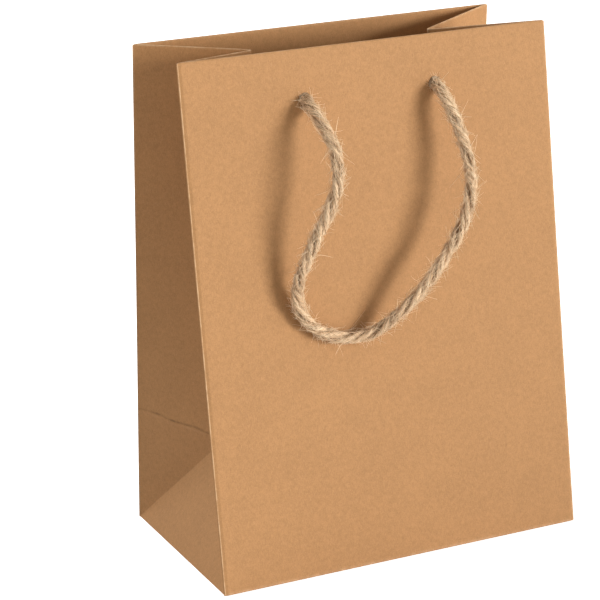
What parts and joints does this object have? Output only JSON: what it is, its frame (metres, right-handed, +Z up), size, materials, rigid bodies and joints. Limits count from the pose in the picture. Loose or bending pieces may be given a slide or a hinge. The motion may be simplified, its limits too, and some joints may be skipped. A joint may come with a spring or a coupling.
{
  "type": "gift bag",
  "caption": "Upright kraft-paper gift bag with pleated sides, a turned-in top hem, a flat base board and twisted jute rope handles knotted inside.",
  "frame": {"origin": "centre of the base's underside, on the surface that the bag stands on", "axes": "+Z up, -Y out of the front wall, +X to the right seen from the front"},
  "size_m": [0.203, 0.1326, 0.2659],
  "materials": {
    "kraft_paper": "uncoated brown kraft, matte",
    "grey_card": "pressed grey board, matte",
    "jute_rope": "twisted jute, hairy, matte"
  },
  "bodies": {
    "base": {"base_panel": "kraft_paper", "base_board": "grey_card", "left_pleat_front": "kraft_paper", "left_pleat_back": "kraft_paper", "left_corner_front": "kraft_paper", "left_corner_back": "kraft_paper", "left_foot": "kraft_paper", "left_base_flap": "kraft_paper", "right_pleat_front": "kraft_paper", "right_pleat_back": "kraft_paper", "right_corner_front": "kraft_paper", "right_corner_back": "kraft_paper", "right_foot": "kraft_paper", "right_base_flap": "kraft_paper"},
    "front_wall": {"front_panel": "kraft_paper", "front_card": "grey_card", "front_hem": "kraft_paper", "front_left_knot": "jute_rope", "front_right_knot": "jute_rope"},
    "back_wall": {"back_panel": "kraft_paper", "back_card": "grey_card", "back_hem": "kraft_paper", "back_left_knot": "jute_rope", "back_right_knot": "jute_rope"},
    "front_handle_loop": {"front_handle": "jute_rope"},
    "back_handle_loop": {"back_handle": "jute_rope"}
  },
  "joints": [
    {"name": "front_wall_crease", "type": "hinge", "parent": "base", "child": "front_wall", "pos_m": [0, -0.0605, 0.0006], "axis": [-1, 0, 0], "range_deg": [-6.5, 4.9], "stiffness_Nm_per_rad": 0.8, "deforming": ["left_pleat_front", "left_corner_front", "right_pleat_front", "right_corner_front"]},
    {"name": "back_wall_crease", "type": "hinge", "parent": "base", "child": "back_wall", "pos_m": [0, 0.0605, 0.0006], "axis": [1, 0, 0], "range_deg": [-6.5, 4.9], "stiffness_Nm_per_rad": 0.8, "deforming": ["left_pleat_back", "left_corner_back", "right_pleat_back", "right_corner_back"]},
    {"name": "front_handle_swing", "type": "hinge", "parent": "front_wall", "child": "front_handle_loop", "pos_m": [0, -0.0412, 0.24046], "axis": [-1, 0, 0], "range_deg": [0, 145]},
    {"name": "back_handle_swing", "type": "hinge", "parent": "back_wall", "child": "back_handle_loop", "pos_m": [0, 0.0412, 0.24046], "axis": [1, 0, 0], "range_deg": [0, 145]}
  ]
}
